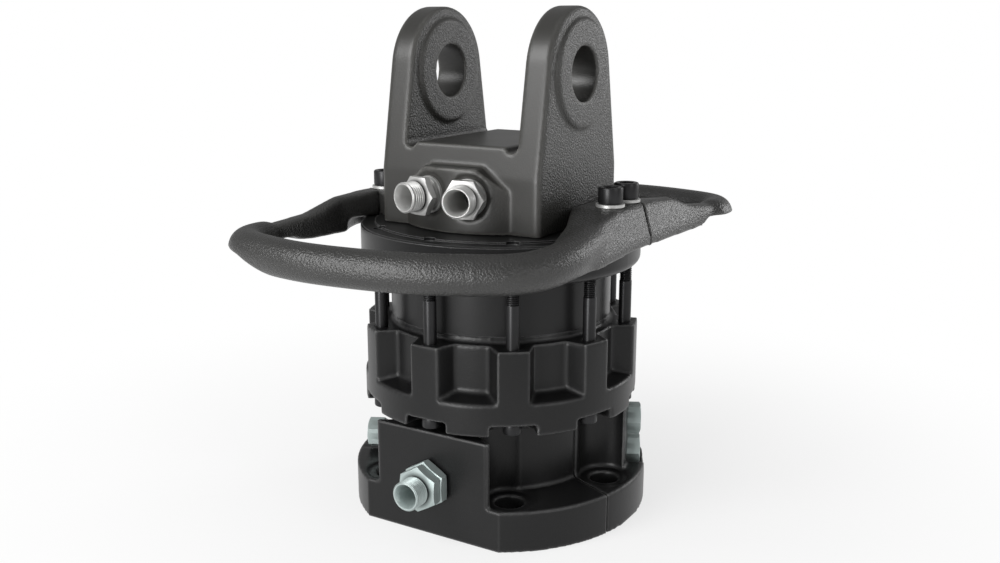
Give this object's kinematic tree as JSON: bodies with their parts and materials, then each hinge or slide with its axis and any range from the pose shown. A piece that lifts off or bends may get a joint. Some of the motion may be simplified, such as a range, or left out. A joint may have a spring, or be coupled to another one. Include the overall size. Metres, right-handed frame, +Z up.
{
  "type": "hydraulic grapple rotator",
  "caption": "Flange-mounted hydraulic rotator with a clevis link bracket, hose guard, castellated motor body and bolted lower flange that turns without limit.",
  "frame": {"origin": "centre of the lower flange's bottom face, on the rotation axis", "axes": "+Z up along the rotation axis, from the flange to the clevis; +X along the link pin; -Y to the front, where the flange has its flat"},
  "size_m": [0.2694, 0.384, 0.3828],
  "materials": {
    "bracket_black": "satin black paint over a sand casting",
    "housing_black": "satin black paint over machined castings",
    "screw_black": "black oxide on steel",
    "zinc_plate": "bright zinc plate",
    "ground_steel": "ground and hardened",
    "bearing_steel": "polished",
    "bronze": "machined bronze",
    "seal_rubber": "moulded",
    "seal_plastic": "filled plastic slide rings"
  },
  "bodies": {
    "base": {"front_flange": "housing_black", "rear_flange": "housing_black", "clamp_screws": "screw_black", "flange_adapters": "zinc_plate", "flange_adapter_seals": "seal_rubber", "side_adapter": "zinc_plate", "side_adapter_seal": "seal_rubber", "rear_port_plugs": "zinc_plate", "shaft": "ground_steel", "shaft_nut": "ground_steel", "swivel_rings": "seal_plastic", "rotor": "ground_steel", "rotor_keys": "ground_steel", "vanes": "ground_steel", "vane_springs": "ground_steel", "lower_bearing_inner": "bearing_steel", "upper_bearing_inner": "bearing_steel"},
    "head": {"link_bracket": "bracket_black", "guard_front": "bracket_black", "guard_rear": "bracket_black", "castellated_cover": "housing_black", "cam_ring": "housing_black", "upper_cover": "housing_black", "long_screws": "screw_black", "bracket_screws": "screw_black", "guard_screws": "screw_black", "guard_washers": "zinc_plate", "bracket_adapters": "zinc_plate", "bracket_adapter_seals": "seal_rubber", "cam_ring_seals": "seal_rubber", "shaft_seal": "seal_rubber", "cam_dowels": "ground_steel", "seal_carrier": "ground_steel", "carrier_snap_ring": "ground_steel", "lower_side_plate": "bronze", "upper_side_plate": "bronze", "lower_bearing_outer": "bearing_steel", "upper_bearing_outer": "bearing_steel"},
    "lower_roller_set": {"lower_bearing_rollers": "bearing_steel", "lower_bearing_cage": "ground_steel"},
    "upper_roller_set": {"upper_bearing_rollers": "bearing_steel", "upper_bearing_cage": "ground_steel"}
  },
  "joints": [
    {"name": "head_turn", "type": "hinge", "parent": "base", "child": "head", "pos_m": [0, 0, 0.12], "axis": [0, 0, 1], "continuous": true},
    {"name": "lower_rollers_turn", "type": "hinge", "parent": "base", "child": "lower_roller_set", "pos_m": [0, 0, 0.112], "axis": [0, 0, 1], "continuous": true},
    {"name": "upper_rollers_turn", "type": "hinge", "parent": "base", "child": "upper_roller_set", "pos_m": [0, 0, 0.208], "axis": [0, 0, 1], "continuous": true}
  ],
  "couplings": [
    {"joint": "lower_rollers_turn", "follows": "head_turn", "ratio": 0.5857},
    {"joint": "upper_rollers_turn", "follows": "head_turn", "ratio": 0.5806}
  ]
}
